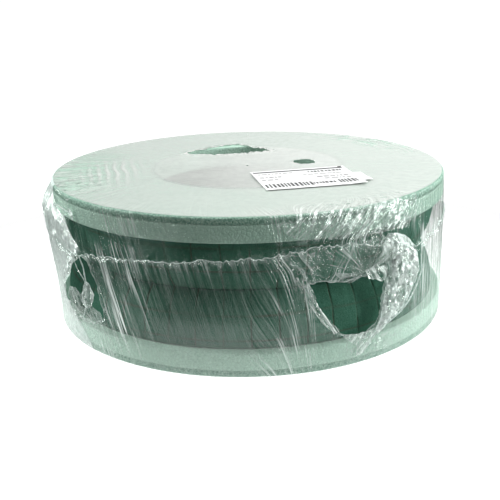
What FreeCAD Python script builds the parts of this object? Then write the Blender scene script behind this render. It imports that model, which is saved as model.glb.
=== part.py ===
"""Shrink-wrapped twin pack of floral foam rings.

Two identical rings lie crown to crown. Each is an expanded polystyrene base with a ring of
floral foam glued to it, so the hard bases face outwards and guard the foam. A shrink film
closes the pack: a panel over each base, a skirt from each panel, and a weld bead where the
skirts meet. The film gathers into an ear at each of the bag's four corners, and
it has burst beside two of them and over the rings' hole. Two paper labels lie on top.

Millimetres, +Z up. The origin is the centre of the face that the pack stands on.
"""

import FreeCAD
import Part

import math
import os

import Sketcher
from FreeCAD import Placement, Rotation, Vector

SIZES = [
    ("ring_radius", 150.0, "outer radius of a polystyrene base"),
    ("hole_radius", 75.5, "radius of the hole through a base"),
    ("base_thick", 17.0, "thickness of a base"),
    ("base_round", 1.5, "rounding of a base's four rims"),
    ("mould_line_z", 4.6, "height of the mould line above a base's outer face"),
    ("mould_line_deep", 0.5, "depth of the mould line, and half its width"),
    ("foam_thick", 36.4, "thickness of the floral foam"),
    ("foam_inset", 6.7, "ledge of base left bare inside and outside the foam"),
    ("foam_wall", 5.0, "upright wall of the foam, below its shoulder"),
    ("shoulder_width", 11.7, "how far the shoulder leans in by the crown"),
    ("glue_thick", 0.6, "thickness of the glue line under the foam"),
    ("glue_margin", 3.0, "how far the glue stays back from the foam's walls"),
    ("film_thick", 0.5, "thickness given to the shrink film"),
    ("film_gap", 0.2, "clearance between a base's rim and the film"),
    ("seam_lift", 27.0, "height of the weld bead above the plane where the crowns meet"),
    ("seam_band", 1.4, "height of the weld bead"),
    ("seam_curve", 1.0, "radius of the weld bead's rounded outer face"),
    ("burst_width", 72.0, "length of the burst over the hole"),
    ("burst_depth", 29.0, "depth of the burst over the hole"),
    ("burst_x", -15.0, "middle of the burst's straight edge, X"),
    ("burst_y", 50.0, "middle of the burst's straight edge, Y"),
    ("vent_radius", 8.6, "radius of the vent hole in the top panel"),
    ("vent_x", 45.0, "centre of the vent hole, X"),
    ("vent_y", 8.0, "centre of the vent hole, Y"),
    ("burst_sill", 5.0, "film left under both side bursts, above the lower base"),
    ("window_width", 64.0, "width of the burst beside the right-hand ear"),
    ("window_lintel", 4.3, "film left between that burst and the weld bead"),
    ("window_turn", 23.5, "degrees from the front to the right-hand burst"),
    ("gash_width", 40.0, "width of the burst beside the left-hand ear"),
    ("gash_tall", 40.0, "height of the burst beside the left-hand ear"),
    ("gash_turn", -51.0, "degrees from the front to the left-hand burst"),
    ("ear_width", 26.0, "width of a gathered corner of the film"),
    ("ear_thick", 3.0, "thickness of a gathered corner of the film"),
    ("ear_rise", 4.5, "how far an ear reaches above the weld bead's middle"),
    ("ear_drop", 55.5, "how far an ear hangs below the weld bead's middle"),
    ("ear_turn", 42.0, "degrees from the front or the back to each ear"),
    ("label_wide", 73.0, "long side of the main label"),
    ("label_deep", 58.0, "short side of the main label"),
    ("label_thick", 0.15, "thickness of either label"),
    ("label_x", 43.0, "centre of the main label, X"),
    ("label_y", -49.5, "centre of the main label, Y"),
    ("label_turn", 12.0, "degrees that both labels are turned by"),
    ("sticker_wide", 34.0, "long side of the small sticker"),
    ("sticker_deep", 27.0, "short side of the small sticker"),
    ("sticker_x", 70.0, "centre of the small sticker, X"),
    ("sticker_y", -51.5, "centre of the small sticker, Y"),
]

# Names for lengths that several pieces share, as expressions over the sheet.
FOAM_OUTER = "(Sizes.ring_radius - Sizes.foam_inset)"
FOAM_INNER = "(Sizes.hole_radius + Sizes.foam_inset)"
SHOULDER_TALL = "(Sizes.foam_thick - Sizes.foam_wall)"
SHOULDER_ARC = f"(({SHOULDER_TALL}^2 + Sizes.shoulder_width^2) / (2 * Sizes.shoulder_width))"
RING_TALL = "(Sizes.base_thick + Sizes.glue_thick + Sizes.foam_thick)"
STACK_LOW = "Sizes.film_thick"
STACK_TOP = f"(Sizes.film_thick + 2 * {RING_TALL})"
FILM_INNER = "(Sizes.ring_radius + Sizes.film_gap)"
FILM_OUTER = f"({FILM_INNER} + Sizes.film_thick)"
PANEL_RADIUS = f"({FILM_INNER} - Sizes.base_round)"
SEAM_MIDDLE = f"({STACK_LOW} + {RING_TALL} + Sizes.seam_lift)"
SEAM_LOW = f"({SEAM_MIDDLE} - Sizes.seam_band / 2)"
SEAM_HIGH = f"({SEAM_MIDDLE} + Sizes.seam_band / 2)"
BURST_LOW = f"({STACK_LOW} + Sizes.base_thick + Sizes.burst_sill)"
LABEL_LOW = f"({STACK_TOP} + Sizes.film_thick)"

doc = FreeCAD.newDocument("FloralFoamRingPack")


def make_sheet():
    """Puts the driving dimensions in a spreadsheet, one aliased cell each."""
    sheet = doc.addObject("Spreadsheet::Sheet", "Sizes")
    for row, (alias, size, note) in enumerate(SIZES, 1):
        sheet.set(f"A{row}", alias)
        sheet.set(f"B{row}", str(size))
        sheet.setAlias(f"B{row}", alias)
        sheet.set(f"C{row}", note)
    doc.recompute()
    return sheet


sheet = make_sheet()


def value(expression):
    """The number that an expression over the sheet has now."""
    return float(sheet.evalExpression(expression))


def make_body(label):
    body = doc.addObject("PartDesign::Body", label)
    body.Label = label
    return body


def make_sketch(body, name, role):
    """A sketch on one of the body's own origin planes, such as XZ_Plane."""
    sketch = body.newObject("Sketcher::SketchObject", name)
    plane = next(f for f in body.Origin.OriginFeatures if f.Role == role)
    sketch.AttachmentSupport = [(plane, "")]
    sketch.MapMode = "FlatFace"
    return sketch


def arc_between(start, end, radius, outward):
    """The arc from start to end, and whether it runs the way that Part draws it."""
    chord = end - start
    rise = math.sqrt(max(radius**2 - (chord.Length / 2) ** 2, 0.0))
    left = Vector(-chord.y, chord.x, 0).normalize()
    centre = (start + end) * 0.5 + left * (rise if outward else -rise)
    first, last = (start, end) if outward else (end, start)
    angles = [math.atan2(p.y - centre.y, p.x - centre.x) for p in (first, last)]
    if angles[1] < angles[0]:
        angles[1] += 2 * math.pi
    return Part.ArcOfCircle(Part.Circle(centre, Vector(0, 0, 1), radius), *angles)


def draw_outline(sketch, corners):
    """Draws a closed outline, anticlockwise, bound to the sheet.

    A corner is (x, y), as expressions. With a third item, an arc of that radius runs from
    it to the next corner. A fourth item, "in", makes that arc hollow.
    """
    places = [Vector(value(c[0]), value(c[1]), 0) for c in corners]
    ends = []
    for i, corner in enumerate(corners):
        start = places[i]
        end = places[(i + 1) % len(corners)]
        if len(corner) == 2:
            sketch.addGeometry(Part.LineSegment(start, end))
            ends.append((1, 2))
        else:
            outward = corner[-1] != "in"
            sketch.addGeometry(arc_between(start, end, value(corner[2]), outward))
            ends.append((1, 2) if outward else (2, 1))
    for i, corner in enumerate(corners):
        following = (i + 1) % len(corners)
        join = Sketcher.Constraint("Coincident", i, ends[i][1], following, ends[following][0])
        sketch.addConstraint(join)
        bind(sketch, Sketcher.Constraint("DistanceX", -1, 1, i, ends[i][0], places[i].x), corner[0])
        bind(sketch, Sketcher.Constraint("DistanceY", -1, 1, i, ends[i][0], places[i].y), corner[1])
        if len(corner) > 2:
            bind(sketch, Sketcher.Constraint("Radius", i, value(corner[2])), corner[2])


def draw_circle(sketch, radius, x="0", y="0"):
    centre = Vector(value(x), value(y), 0)
    sketch.addGeometry(Part.Circle(centre, Vector(0, 0, 1), value(radius)))
    bind(sketch, Sketcher.Constraint("Radius", 0, value(radius)), radius)
    if x == y == "0":
        sketch.addConstraint(Sketcher.Constraint("Coincident", 0, 3, -1, 1))
    else:
        bind(sketch, Sketcher.Constraint("DistanceX", -1, 1, 0, 3, centre.x), x)
        bind(sketch, Sketcher.Constraint("DistanceY", -1, 1, 0, 3, centre.y), y)


def bind(sketch, constraint, expression):
    """Adds a constraint and ties its size to an expression."""
    index = sketch.addConstraint(constraint)
    sketch.setExpression(f"Constraints[{index}]", expression)


def revolve(body, corners, degrees=None):
    """Turns an outline in the XZ plane about the Z axis, all the way or by some degrees.

    A part turn is centred on +X.
    """
    sketch = make_sketch(body, body.Label + "_profile", "XZ_Plane")
    draw_outline(sketch, corners)
    turned = body.newObject("PartDesign::Revolution", body.Label + "_turned")
    turned.Profile = sketch
    turned.ReferenceAxis = (sketch, ["V_Axis"])
    turned.Angle = 360
    if degrees:
        turned.Midplane = True
        turned.setExpression("Angle", degrees)
    sketch.Visibility = False
    doc.recompute()
    return turned


def pad(body, sketch, thick):
    raised = body.newObject("PartDesign::Pad", body.Label + "_pad")
    raised.Profile = sketch
    raised.setExpression("Length", thick)
    doc.recompute()
    return raised


def cut_through(body, sketch):
    """Cuts a sketch right through the body, and makes sure that it took something away."""
    before = body.Shape.Volume
    hole = body.newObject("PartDesign::Pocket", sketch.Name + "_cut")
    hole.Profile = sketch
    hole.Type = "ThroughAll"
    hole.Midplane = True
    doc.recompute()
    if body.Shape.Volume >= before:
        raise RuntimeError(f"{hole.Name} cut nothing")


def lift(thing, height):
    thing.setExpression(".Placement.Base.z", height)


def place_ring_piece(body, upper):
    """Stands a ring piece on the ground film, or turns it over onto the lower ring."""
    if upper:
        body.Placement = Placement(Vector(), Rotation(Vector(1, 0, 0), 180))
    lift(body, STACK_TOP if upper else STACK_LOW)


def make_base(label, upper):
    """A polystyrene ring with rounded rims and a mould line round its outer wall."""
    inner, outer = "Sizes.hole_radius", "Sizes.ring_radius"
    low, high, soft = "0", "Sizes.base_thick", "Sizes.base_round"
    line, deep = "Sizes.mould_line_z", "Sizes.mould_line_deep"
    body = make_body(label)
    corners = [
        (f"{inner} + {soft}", low),
        (f"{outer} - {soft}", low, soft),
        (outer, soft),
        (outer, f"{line} - {deep}"),
        (f"{outer} - {deep}", line),
        (outer, f"{line} + {deep}"),
        (outer, f"{high} - {soft}", soft),
        (f"{outer} - {soft}", high),
        (f"{inner} + {soft}", high, soft),
        (inner, f"{high} - {soft}"),
        (inner, soft, soft),
    ]
    revolve(body, corners)
    place_ring_piece(body, upper)
    return body


def make_glue(label, upper):
    """The glue line that holds the foam to its base."""
    body = make_body(label)
    inner = f"{FOAM_INNER} + Sizes.glue_margin"
    outer = f"{FOAM_OUTER} - Sizes.glue_margin"
    low, high = "Sizes.base_thick", "Sizes.base_thick + Sizes.glue_thick"
    revolve(body, [(inner, low), (outer, low), (outer, high), (inner, high)])
    place_ring_piece(body, upper)
    return body


def make_foam(label, upper):
    """A foam ring whose walls curve in, as two shoulders, to a flat crown."""
    low = "Sizes.base_thick + Sizes.glue_thick"
    shoulder = f"{low} + Sizes.foam_wall"
    crown = RING_TALL
    body = make_body(label)
    corners = [
        (FOAM_INNER, low),
        (FOAM_OUTER, low),
        (FOAM_OUTER, shoulder, SHOULDER_ARC),
        (f"{FOAM_OUTER} - Sizes.shoulder_width", crown),
        (f"{FOAM_INNER} + Sizes.shoulder_width", crown, SHOULDER_ARC),
        (FOAM_INNER, shoulder),
    ]
    revolve(body, corners)
    place_ring_piece(body, upper)
    return body


def make_top_panel():
    """The film over the upper base, with the burst over the hole and the vent hole."""
    body = make_body("film_top_panel")
    disc = make_sketch(body, "top_disc", "XY_Plane")
    draw_circle(disc, PANEL_RADIUS)
    pad(body, disc, "Sizes.film_thick")
    burst = make_sketch(body, "burst", "XY_Plane")
    half, deep = "Sizes.burst_width / 2", "Sizes.burst_depth"
    bow = f"(({half})^2 + {deep}^2) / (2 * {deep})"
    corners = [
        (f"Sizes.burst_x - {half}", "Sizes.burst_y"),
        (f"Sizes.burst_x + {half}", "Sizes.burst_y", bow),
    ]
    draw_outline(burst, corners)
    cut_through(body, burst)
    vent = make_sketch(body, "vent", "XY_Plane")
    draw_circle(vent, "Sizes.vent_radius", "Sizes.vent_x", "Sizes.vent_y")
    cut_through(body, vent)
    lift(body, STACK_TOP)
    return body


def make_bottom_panel():
    """The film under the lower base, which the pack stands on."""
    body = make_body("film_bottom_panel")
    disc = make_sketch(body, "bottom_disc", "XY_Plane")
    draw_circle(disc, PANEL_RADIUS)
    pad(body, disc, "Sizes.film_thick")
    return body


def make_upper_skirt():
    """The film from the top panel's edge, round the rim and down to the weld bead."""
    body = make_body("film_upper_skirt")
    bend = f"{STACK_TOP} - Sizes.base_round"
    corners = [
        (FILM_INNER, SEAM_HIGH),
        (FILM_OUTER, SEAM_HIGH),
        (FILM_OUTER, bend, "Sizes.base_round + Sizes.film_thick"),
        (PANEL_RADIUS, f"{STACK_TOP} + Sizes.film_thick"),
        (PANEL_RADIUS, STACK_TOP, "Sizes.base_round", "in"),
        (FILM_INNER, bend),
    ]
    revolve(body, corners)
    return body


def make_lower_skirt():
    """The film from the weld bead down and round the lower rim, with its two bursts."""
    body = make_body("film_lower_skirt")
    bend = f"{STACK_LOW} + Sizes.base_round"
    corners = [
        (PANEL_RADIUS, "0", "Sizes.base_round + Sizes.film_thick"),
        (FILM_OUTER, bend),
        (FILM_OUTER, SEAM_LOW),
        (FILM_INNER, SEAM_LOW),
        (FILM_INNER, bend, "Sizes.base_round", "in"),
        (PANEL_RADIUS, STACK_LOW),
    ]
    revolve(body, corners)
    window_top = f"{SEAM_LOW} - Sizes.window_lintel"
    gash_top = f"{BURST_LOW} + Sizes.gash_tall"
    cut_side_burst(body, "window", "Sizes.window_width", window_top, "Sizes.window_turn")
    cut_side_burst(body, "gash", "Sizes.gash_width", gash_top, "Sizes.gash_turn")
    return body


def cut_side_burst(body, name, wide, top, turn):
    """Cuts a four-cornered burst, wide above and narrow below, through one side of a skirt."""
    foot_left, foot_right = f"-{wide} / 8", f"{wide} / 4"
    before = body.Shape.Volume
    sketch = make_sketch(body, name, "XZ_Plane")
    sketch.AttachmentOffset = Placement(Vector(), Rotation(Vector(0, 1, 0), value(turn)))
    sketch.setExpression(".AttachmentOffset.Rotation.Angle", turn)
    corners = [
        (foot_left, BURST_LOW),
        (foot_right, BURST_LOW),
        (f"{wide} / 2", top),
        (f"-{wide} / 2", top),
    ]
    draw_outline(sketch, corners)
    hole = body.newObject("PartDesign::Pocket", name + "_cut")
    hole.Profile = sketch
    hole.setExpression("Length", f"{FILM_OUTER} + Sizes.film_gap")
    hole.Reversed = True
    doc.recompute()
    if body.Shape.Volume >= before:
        raise RuntimeError(f"{name} cut nothing")


def make_weld_bead():
    """The weld bead between the skirts, rounded on the outside."""
    body = make_body("film_weld_bead")
    corners = [
        (FILM_INNER, SEAM_LOW),
        (FILM_OUTER, SEAM_LOW, "Sizes.seam_curve"),
        (FILM_OUTER, SEAM_HIGH),
        (FILM_INNER, SEAM_HIGH),
    ]
    revolve(body, corners)
    return body


def make_ear(label, turn):
    """One gathered corner of the film: a curved slab on the skirts, notched for the bead."""
    body = make_body(label)
    outer = f"{FILM_OUTER} + Sizes.ear_thick"
    low, high = f"{SEAM_MIDDLE} - Sizes.ear_drop", f"{SEAM_MIDDLE} + Sizes.ear_rise"
    corners = [
        (FILM_OUTER, low),
        (outer, low),
        (outer, high),
        (FILM_OUTER, high),
        (FILM_OUTER, SEAM_HIGH, "Sizes.seam_curve", "in"),
        (FILM_OUTER, SEAM_LOW),
    ]
    revolve(body, corners, f"Sizes.ear_width / {FILM_OUTER} * 180 / pi")
    body.Placement = Placement(Vector(), Rotation(Vector(0, 0, 1), value(turn)))
    body.setExpression(".Placement.Rotation.Angle", turn)
    return body


def make_ears():
    """The four ears, placed by degrees round from +X."""
    turns = {
        "film_ear_front_right": "Sizes.ear_turn - 90",
        "film_ear_back_right": "90 - Sizes.ear_turn",
        "film_ear_back_left": "90 + Sizes.ear_turn",
        "film_ear_front_left": "270 - Sizes.ear_turn",
    }
    return [make_ear(label, turn) for label, turn in turns.items()]


def make_label(label, wide, deep, x, y, low):
    """A paper rectangle lying flat on the pack."""
    body = make_body(label)
    sketch = make_sketch(body, label + "_outline", "XY_Plane")
    corners = [
        (f"-{wide} / 2", f"-{deep} / 2"),
        (f"{wide} / 2", f"-{deep} / 2"),
        (f"{wide} / 2", f"{deep} / 2"),
        (f"-{wide} / 2", f"{deep} / 2"),
    ]
    draw_outline(sketch, corners)
    pad(body, sketch, "Sizes.label_thick")
    turn = Rotation(Vector(0, 0, 1), value("Sizes.label_turn"))
    body.Placement = Placement(Vector(value(x), value(y), 0), turn)
    body.setExpression(".Placement.Base.x", x)
    body.setExpression(".Placement.Base.y", y)
    body.setExpression(".Placement.Rotation.Angle", "Sizes.label_turn")
    lift(body, low)
    return body


def make_labels():
    main = make_label(
        "main_label",
        "Sizes.label_wide",
        "Sizes.label_deep",
        "Sizes.label_x",
        "Sizes.label_y",
        LABEL_LOW,
    )
    sticker = make_label(
        "price_sticker",
        "Sizes.sticker_wide",
        "Sizes.sticker_deep",
        "Sizes.sticker_x",
        "Sizes.sticker_y",
        f"{LABEL_LOW} + Sizes.label_thick",
    )
    return [main, sticker]


def make_ring(name, upper):
    return [
        make_base(f"{name}_polystyrene_base", upper),
        make_glue(f"{name}_glue_line", upper),
        make_foam(f"{name}_foam_ring", upper),
    ]


def check(pieces):
    """Stops the script if any object failed or any piece isn't a valid solid."""
    for thing in doc.Objects:
        if "Invalid" in thing.State or "Error" in thing.State:
            raise RuntimeError(f"{thing.Name} failed: {thing.State}")
    for piece in pieces:
        if piece.Shape.isNull() or not piece.Shape.isValid() or not piece.Shape.Solids:
            raise RuntimeError(f"{piece.Label} has no valid solid")


def write(pieces):
    os.makedirs("parts", exist_ok=True)
    for piece in pieces:
        piece.Shape.exportStep(os.path.join("parts", piece.Label + ".step"))
        print(f"{piece.Label}: {len(piece.Shape.Solids)} solid, {piece.Shape.Volume:.0f} mm3")


pieces = make_ring("lower", upper=False) + make_ring("upper", upper=True)
pieces += [make_bottom_panel(), make_lower_skirt(), make_weld_bead(), make_upper_skirt()]
pieces += [make_top_panel()]
pieces += make_ears() + make_labels()
doc.recompute()
check(pieces)
write(pieces)
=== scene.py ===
"""Looks of a shrink-wrapped twin pack of floral foam rings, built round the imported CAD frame.

Metres, +Z up, the pack standing on z = 0 with its front at -Y. Most outlines are in
millimetres and in degrees round the pack: 0 at the front, positive towards +X. A "lift" is a
height above the plane where the two foam rings meet.
"""

import math
from functools import reduce
from types import SimpleNamespace

import bmesh
import bpy
import numpy as np
from mathutils import Matrix, Vector


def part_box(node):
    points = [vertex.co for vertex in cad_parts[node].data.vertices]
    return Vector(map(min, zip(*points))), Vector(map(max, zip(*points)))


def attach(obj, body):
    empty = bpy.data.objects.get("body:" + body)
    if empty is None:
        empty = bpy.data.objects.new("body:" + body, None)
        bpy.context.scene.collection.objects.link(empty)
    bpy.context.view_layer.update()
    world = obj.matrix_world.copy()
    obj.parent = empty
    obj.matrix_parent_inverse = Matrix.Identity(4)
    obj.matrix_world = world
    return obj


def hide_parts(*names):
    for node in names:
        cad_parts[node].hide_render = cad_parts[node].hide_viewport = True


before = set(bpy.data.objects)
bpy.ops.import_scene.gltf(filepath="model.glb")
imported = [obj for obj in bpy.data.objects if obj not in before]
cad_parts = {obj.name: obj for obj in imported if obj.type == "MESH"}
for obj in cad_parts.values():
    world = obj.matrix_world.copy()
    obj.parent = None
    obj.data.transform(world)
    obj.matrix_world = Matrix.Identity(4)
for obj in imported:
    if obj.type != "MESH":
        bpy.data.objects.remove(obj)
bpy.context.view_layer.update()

MM = 0.001
BODY = "root"

# Sizes read from the frame, in millimetres.
low_base = [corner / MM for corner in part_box("lower_polystyrene_base")]
low_foam = [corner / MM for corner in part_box("lower_foam_ring")]
up_base = [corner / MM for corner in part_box("upper_polystyrene_base")]
skirt = [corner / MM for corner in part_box("film_lower_skirt")]
GROUND_FILM = low_base[0].z
BASE_RADIUS = low_base[1].y
BASE_TALL = low_base[1].z - low_base[0].z
FOAM_RADIUS = low_foam[1].y
FOAM_LOW = low_foam[0].z
MIDDLE = low_foam[1].z
TOP = up_base[1].z
FILM_RADIUS = skirt[1].y

# Sizes that no box shows, in millimetres, and the number of scored lines round.
HOLE_RADIUS = 75.5
FOAM_INNER = 82.2
BASE_ROUND = 1.5
MOULD_LINE = 4.6
FOAM_WALL = 5.0
SHOULDER = 11.7
SCORES_ROUND = 48
SCORE_LIFTS = (-15.0, -31.5)
RIM_BEND = 2.0
FILM_LOW = 0.05
FILM_TOP = TOP + GROUND_FILM - 0.1


# -------- numbers


def noise(u, v, seed, wrap=None):
    """Smooth noise from -1 to 1, one lattice cell per unit, with u wrapping after wrap cells."""
    table = np.random.default_rng(seed).uniform(-1, 1, (257, 257))
    u, v = np.broadcast_arrays(np.asarray(u, float), np.asarray(v, float))
    i, j = np.floor(u).astype(int), np.floor(v).astype(int)
    fu, fv = u - i, v - j
    fu, fv = fu * fu * (3 - 2 * fu), fv * fv * (3 - 2 * fv)
    around = wrap or 257
    i0, i1, j0, j1 = i % around % 257, (i + 1) % around % 257, j % 257, (j + 1) % 257
    near = table[i0, j0] * (1 - fu) + table[i1, j0] * fu
    far = table[i0, j1] * (1 - fu) + table[i1, j1] * fu
    return near * (1 - fv) + far * fv


def creases(u, v, seed):
    """Noise with straight-sided crests at 1, falling away to about -1, as folded film has."""
    return 1 - 2.4 * np.abs(noise(u, v, seed))


def bump(x, middle, reach):
    """1 at the middle, falling smoothly to 0 at a reach to either side."""
    d = np.clip(np.abs(np.asarray(x, float) - middle) / reach, 0, 1)
    return (1 - d * d) ** 2


def step(x, start, end):
    """0 before start, 1 after end, smooth between. start may be the greater."""
    d = np.clip((np.asarray(x, float) - start) / (end - start), 0, 1)
    return d * d * (3 - 2 * d)


def close_to(gap, reach):
    """1 where a gap is nothing, falling off over a reach."""
    return np.exp(-((gap / reach) ** 2))


def follow(x, points, period=None):
    """A smooth line through (x, value) points."""
    at = np.array([p[0] for p in points], float)
    values = np.array([p[1] for p in points], float)
    spread = (-3.0, -1.5, 0.0, 1.5, 3.0)
    return sum(np.interp(x + s, at, values, period=period) for s in spread) / len(spread)


def inside(x, y, outline):
    """Which points lie inside a closed outline."""
    result = np.zeros(np.shape(x), bool)
    for (x0, y0), (x1, y1) in zip(outline, np.roll(outline, -1, axis=0)):
        crosses = (y0 > y) != (y1 > y)
        rise = y1 - y0 if y1 != y0 else 1e-9
        result ^= crosses & (x < x0 + (y - y0) * (x1 - x0) / rise)
    return result


def nearest(x, y, outline):
    """How far points lie from a closed outline, and its closest points to them."""
    side = np.roll(outline, -1, axis=0) - outline
    low, high = outline.min(0) - 30, outline.max(0) + 30
    near = (x > low[0]) & (x < high[0]) & (y > low[1]) & (y < high[1])
    px = x[near][:, None] - outline[:, 0]
    py = y[near][:, None] - outline[:, 1]
    along = np.clip((px * side[:, 0] + py * side[:, 1]) / (side**2).sum(1), 0, 1)
    dx, dy = along * side[:, 0] - px, along * side[:, 1] - py
    length = np.hypot(dx, dy)
    pick = np.arange(len(length)), length.argmin(1)
    gap, at_x, at_y = np.full(x.shape, 1e3), np.array(x), np.array(y)
    gap[near] = length[pick]
    at_x[near] += dx[pick]
    at_y[near] += dy[pick]
    return gap, at_x, at_y


def trim(x, y, outline, keep_inside=False, wrap=True):
    """Moves grid points past an outline onto it. Says which faces stay and each point's gap."""
    wanted = inside(x, y, outline) == keep_inside
    gap, at_x, at_y = nearest(x, y, outline)
    right = np.roll(wanted, -1, axis=1) if wrap else wanted[:, 1:]
    left = wanted if wrap else wanted[:, :-1]
    keep = left[:-1] | left[1:] | right[:-1] | right[1:]
    gap = np.where(wanted, gap, 0.0)
    return np.where(wanted, x, at_x), np.where(wanted, y, at_y), keep, gap


def torn(corners, amount, seed):
    """A closed outline through corners in millimetres, softened, then frayed by an amount."""
    points = []
    for (x0, y0), (x1, y1) in zip(corners, corners[1:] + corners[:1]):
        count = max(int(math.hypot(x1 - x0, y1 - y0) / 0.8), 1)
        points += [(x0 + (x1 - x0) * k / count, y0 + (y1 - y0) * k / count) for k in range(count)]
    points = np.array(points)
    for _ in range(3):
        points = (np.roll(points, 1, axis=0) + points + np.roll(points, -1, axis=0)) / 3
    run = np.arange(len(points))
    fray = noise(run / 2.2, 0, seed) + 0.8 * noise(run / 6.5, 0, seed + 1)
    sway = noise(run / 2.8, 0, seed + 2) + 0.8 * noise(run / 8.0, 0, seed + 3)
    return points + amount * stacked(fray, sway)


def place(az, radius, height):
    """Points at degrees round, a radius and a height, all in the last axis."""
    turn = np.radians(az)
    return stacked(radius * np.sin(turn), -radius * np.cos(turn), height)


def degrees_round(columns):
    """A row of evenly spaced degrees round the pack, for a grid whose rows join end to end."""
    return np.linspace(-180, 180, columns, endpoint=False)[None, :]


def to_arc(points):
    """(degrees, lift) points as (millimetres round, height)."""
    return [(math.radians(az) * FILM_RADIUS, MIDDLE + lift) for az, lift in points]


def stacked(*fields):
    """Fields as the last axis of one array."""
    return np.stack(np.broadcast_arrays(*fields), axis=-1)


# -------- meshes


def put(name, data):
    """Adds an object to the scene."""
    thing = bpy.data.objects.new(name, data)
    bpy.context.scene.collection.objects.link(thing)
    return thing


def finish_piece(piece, material, nodes=()):
    """Gives a piece its material, hangs it under its body's empty, and hides the nodes it stands for."""
    piece.data.materials.append(material)
    if nodes:
        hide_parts(*nodes)
    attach(piece, BODY)


def grid(name, points, wrap=False, keep=None, values=None):
    """A mesh over a grid of points in millimetres, with its rows joined end to end if wrap.

    keep says which faces stay. values holds named grids of numbers that the material reads.
    """
    rows, columns = points.shape[:2]
    across = columns if wrap else columns - 1
    i, j = np.mgrid[0 : rows - 1, 0:across]
    after = (j + 1) % columns
    corners = [i * columns + j, i * columns + after, (i + 1) * columns + after, (i + 1) * columns + j]
    faces = np.stack(corners, axis=-1)
    faces = faces[keep] if keep is not None else faces.reshape(-1, 4)
    used, faces = np.unique(faces, return_inverse=True)
    mesh = bpy.data.meshes.new(name)
    mesh.from_pydata((points.reshape(-1, 3)[used] * MM).tolist(), [], faces.reshape(-1, 4).tolist())
    mesh.polygons.foreach_set("use_smooth", np.ones(len(mesh.polygons), bool))
    for key, field in (values or {}).items():
        wide = field.ndim == 3
        kind = "FLOAT_VECTOR" if wide else "FLOAT"
        flat = field.reshape(-1, 3)[used] if wide else field.ravel()[used]
        layer = mesh.attributes.new(key, kind, "POINT")
        layer.data.foreach_set("vector" if wide else "value", flat.astype(np.float32).ravel())
    mesh.update()
    return put(name, mesh)


def unit(vectors):
    """Vectors in the last axis, each made one long."""
    return vectors / np.maximum(np.linalg.norm(vectors, axis=-1, keepdims=True), 1e-9)


def pressed(points, relief):
    """A closed ring's grid points moved out along their normals by a relief."""
    across = np.roll(points, -1, axis=1) - np.roll(points, 1, axis=1)
    points = points + unit(np.cross(across, np.gradient(points, axis=0))) * relief[..., None]
    points[-1] = points[0]
    return points


def tube(path, radius):
    """Grid points of a six-sided tube along a path, with a radius at each point."""
    ahead = unit(np.gradient(path, axis=0))
    side = unit(np.cross(ahead, unit(path * [1, 1, 0])))[:, None]
    out = np.cross(side, ahead[:, None])
    turn = np.linspace(0, 2 * math.pi, 6, endpoint=False)[None, :, None]
    return path[:, None] + (np.cos(turn) * side + np.sin(turn) * out) * radius[:, None, None]


# -------- materials


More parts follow.
